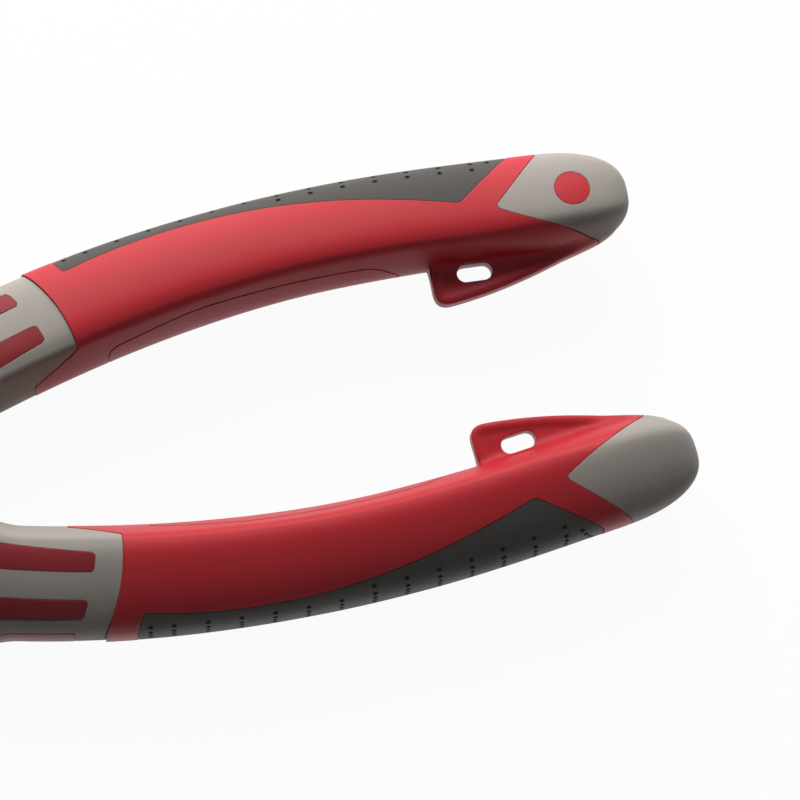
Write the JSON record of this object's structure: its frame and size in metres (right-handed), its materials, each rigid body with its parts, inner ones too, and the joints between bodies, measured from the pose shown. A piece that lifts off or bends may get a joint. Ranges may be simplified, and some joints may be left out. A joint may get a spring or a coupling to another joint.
{
  "type": "combination pliers",
  "caption": "Combination pliers with toothed and pipe-grip jaws, side cutters, a riveted lap joint and curved moulded grips with tether tabs.",
  "frame": {"origin": "on the pivot axis, in the flush underside of the rivet", "axes": "+X from the pivot to the handles, +Y towards the upper handle, +Z along the pivot axis and up as it lies"},
  "size_m": [0.1799, 0.0614, 0.017],
  "materials": {
    "steel": "forged and ground, satin",
    "red_plastic": "satin moulded",
    "light_soft_plastic": "matt moulded",
    "dark_soft_plastic": "matt moulded, dimpled"
  },
  "bodies": {
    "upper_half": {"upper_lever": "steel", "pivot_rivet": "steel", "upper_grip_body": "red_plastic", "upper_grip_collar": "light_soft_plastic", "upper_palm_pad": "dark_soft_plastic", "upper_end_cap": "light_soft_plastic"},
    "lower_half": {"lower_lever": "steel", "lower_grip_body": "red_plastic", "lower_grip_collar": "light_soft_plastic", "lower_palm_pad": "dark_soft_plastic", "lower_end_cap": "light_soft_plastic"}
  },
  "joints": [
    {"name": "pivot", "type": "hinge", "parent": "upper_half", "child": "lower_half", "pos_m": [0, 0, 0], "axis": [0, 0, -1], "range_deg": [-6, 30]}
  ]
}
